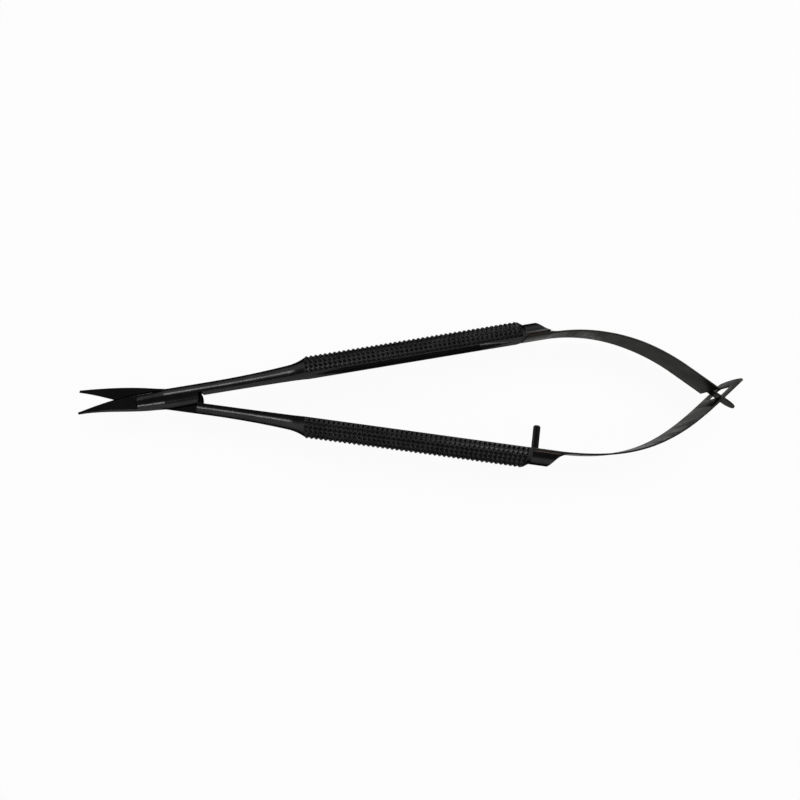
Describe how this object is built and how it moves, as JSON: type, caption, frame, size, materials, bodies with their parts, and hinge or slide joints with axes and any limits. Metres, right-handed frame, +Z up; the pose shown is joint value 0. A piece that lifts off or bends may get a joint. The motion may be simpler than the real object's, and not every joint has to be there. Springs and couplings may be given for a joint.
{
  "type": "micro scissors",
  "caption": "Spring-handled micro scissors with straight pointed blades on a lap joint, knurled hollow half-round handles and interlocking leaf springs, lying open on their side.",
  "frame": {"origin": "bottom centre of the bounding box, on the surface that the scissors lie on", "axes": "+X from the blade points to the tail, +Y across the opening towards the upper handle, +Z up along the pivot screw"},
  "size_m": [0.1486, 0.0334, 0.0089],
  "materials": {
    "black_coating": "semi-gloss black ceramic coating on stainless steel",
    "spring_coating": "satin black-grey coating on spring steel"
  },
  "bodies": {
    "lower": {"lower_half": "black_coating", "lower_spring": "spring_coating", "stop_pin": "black_coating"},
    "upper": {"upper_half": "black_coating", "upper_spring": "spring_coating", "pivot_screw": "black_coating"}
  },
  "joints": [
    {"name": "blade_pivot", "type": "hinge", "parent": "lower", "child": "upper", "pos_m": [-0.05489, 0, 0.00446], "axis": [0, 0, -1], "range_deg": [0, 13.5], "stiffness_Nm_per_rad": 0.3, "deforming": ["upper_spring", "lower_spring"]}
  ]
}
